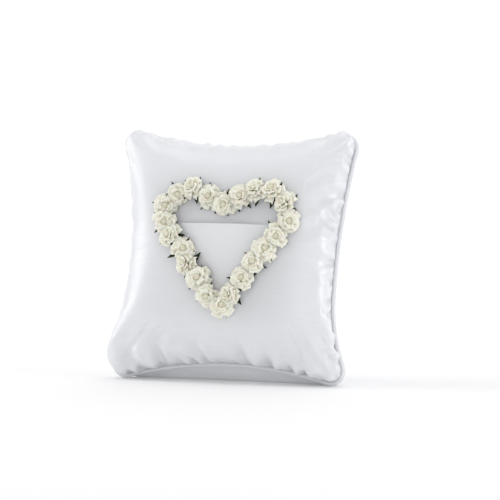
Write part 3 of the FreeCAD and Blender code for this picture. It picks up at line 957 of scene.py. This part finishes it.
# The first colour of each paper is painted shade at the feet of its petals, sepals and cups; the
# second is the paper's own colour.
PETAL_MATERIAL = paper("rose_paper", (0.74, 0.68, 0.49), (0.88, 0.86, 0.76), 0.8, 0.05 * MM)
LEAF_MATERIAL = paper("leaf_paper", (0.012, 0.022, 0.008), (0.028, 0.05, 0.018), 0.7, 0.05 * MM)
THREAD_MATERIAL = spun("sewing_thread", (0.78, 0.79, 0.83), 0.5, (3000, 3000, 3000), 0.02 * MM)
CORD_MATERIAL = spun("cotton_cord", (0.8, 0.79, 0.74), 0.85, (1500, 1500, 1500), 0.08 * MM)
FILL_MATERIAL = spun("polyester_fill", (0.85, 0.85, 0.85), 0.9, (500, 500, 500), 0.3 * MM)
WIRE_MATERIAL = spun("florist_wire", (0.05, 0.09, 0.04), 0.5, (900, 900, 900), 0.02 * MM)
GLUE_MATERIAL = spun("clear_glue", (0.85, 0.85, 0.8), 0.25, (400, 400, 400), 0.05 * MM,
                     Transmission_Weight=0.6, IOR=1.48)


def wear(obj, material):
    obj.data.materials.clear()
    obj.data.materials.append(material)


for cover_piece in (front_cover, back_cover):
    wear(cover_piece, COVER_MATERIAL)
wear(fill, FILL_MATERIAL)
wear(piping_strip, PIPING_MATERIAL)
wear(pocket, POCKET_SATIN_PAINTED_LIGHTER)
for flower in roses:
    wear(flower, PETAL_MATERIAL)
for leaf in calyxes:
    wear(leaf, LEAF_MATERIAL)
for node, material in (("piping_cord", CORD_MATERIAL), ("closing_stitches", THREAD_MATERIAL),
                       ("glue_dots", GLUE_MATERIAL), ("rose_wires", WIRE_MATERIAL)):
    wear(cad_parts[node], material)


# --- camera -----------------------------------------------------------------------
CAMERA_AZIMUTH = math.radians(22.19)
CAMERA_ELEVATION = math.radians(3.48)
CAMERA_DISTANCE = 1.941
AIM_OFFSET = Vector((0.0, 1.6 * MM, 1.1 * MM))
LENS = 218.7
SENSOR_WIDTH = 36.0
SHIFT = (0.0288, 0.0102)


def add_camera():
    data = bpy.data.cameras.new("camera")
    camera = bpy.data.objects.new("camera", data)
    bpy.context.scene.collection.objects.link(camera)
    back = Vector((math.sin(CAMERA_AZIMUTH) * math.cos(CAMERA_ELEVATION),
                   -math.cos(CAMERA_AZIMUTH) * math.cos(CAMERA_ELEVATION),
                   math.sin(CAMERA_ELEVATION)))
    target = Vector(centre) + AIM_OFFSET
    camera.location = target + back * CAMERA_DISTANCE
    camera.rotation_euler = back.to_track_quat("Z", "Y").to_euler()
    data.sensor_width = SENSOR_WIDTH
    data.lens = LENS
    data.shift_x, data.shift_y = SHIFT
    data.dof.use_dof = False
    bpy.context.scene.camera = camera


add_camera()


# --- studio -----------------------------------------------------------------------
SWEEP_START = 1.0                  # where the floor starts to curve up, behind the cushion
SWEEP_RADIUS = 1.2
WALL_HEIGHT = 5.0
STAGE_HALF_WIDTH = 5.0
FLOOR_FRONT = -4.0
GLOW = (0.09, 0.55)                # on the floor and on the wall
GLOW_RANGE = (0.15, 1.6)           # from the front to the back, between those two
WORLD_STRENGTH = 0.47


def add_stage():
    """A white floor that sweeps up behind into a wall that glows softly."""
    run = [(FLOOR_FRONT, 0.0), (SWEEP_START, 0.0)]
    run += [(SWEEP_START + SWEEP_RADIUS * math.sin(a), SWEEP_RADIUS * (1 - math.cos(a)))
            for a in np.linspace(0.1, math.pi / 2, 16)]
    run.append((SWEEP_START + SWEEP_RADIUS, WALL_HEIGHT))
    points = [(x, y, z) for y, z in run for x in (-STAGE_HALF_WIDTH, STAGE_HALF_WIDTH)]
    faces = [(2 * i, 2 * i + 1, 2 * i + 3, 2 * i + 2) for i in range(len(run) - 1)]
    sweep = mesh_object("sweep", points, faces)
    material, tree, shader = new_material("sweep", (0.82, 0.82, 0.825), 0.8,
                                          Emission_Color=(1, 1, 1, 1))
    position = tree.nodes.new("ShaderNodeSeparateXYZ")
    tree.links.new(object_output(tree), position.inputs["Vector"])
    glow = remap(tree, position.outputs["Y"], *GLOW, GLOW_RANGE)
    tree.links.new(glow, shader.inputs["Emission Strength"])
    wear(sweep, material)


add_stage()


def add_light(name, location, size, power, colour=(1, 1, 1)):
    """A soft box aimed at the cushion; its size in metres and its power in watts."""
    data = bpy.data.lights.new(name, "AREA")
    data.shape = "RECTANGLE"
    data.size, data.size_y = size
    data.energy = power
    data.color = colour
    light = bpy.data.objects.new(name, data)
    light.location = location
    light.rotation_euler = (Vector(location) - Vector(centre)).to_track_quat("Z", "Y").to_euler()
    bpy.context.scene.collection.objects.link(light)


add_light("left_softbox", (-1.45, -0.35, 0.75), (0.9, 1.3), 10.5)
add_light("right_softbox", (1.6, -0.15, 0.5), (0.5, 1.2), 8.5, (0.97, 0.98, 1))
add_light("overhead", (0.1, -0.1, 1.8), (1.5, 1.0), 8.5)
add_light("front_softbox", (0.4, -1.7, 1.0), (1.2, 0.8), 2)
add_light("low_fill", (0.5, -1.5, 0.12), (1.6, 0.2), 2.5)
world = bpy.data.worlds.new("world")
bpy.context.scene.world = world
world.use_nodes = True
world.node_tree.nodes["Background"].inputs["Color"].default_value = (1, 1, 1, 1)
world.node_tree.nodes["Background"].inputs["Strength"].default_value = WORLD_STRENGTH
bpy.context.scene.view_settings.view_transform = "Standard"
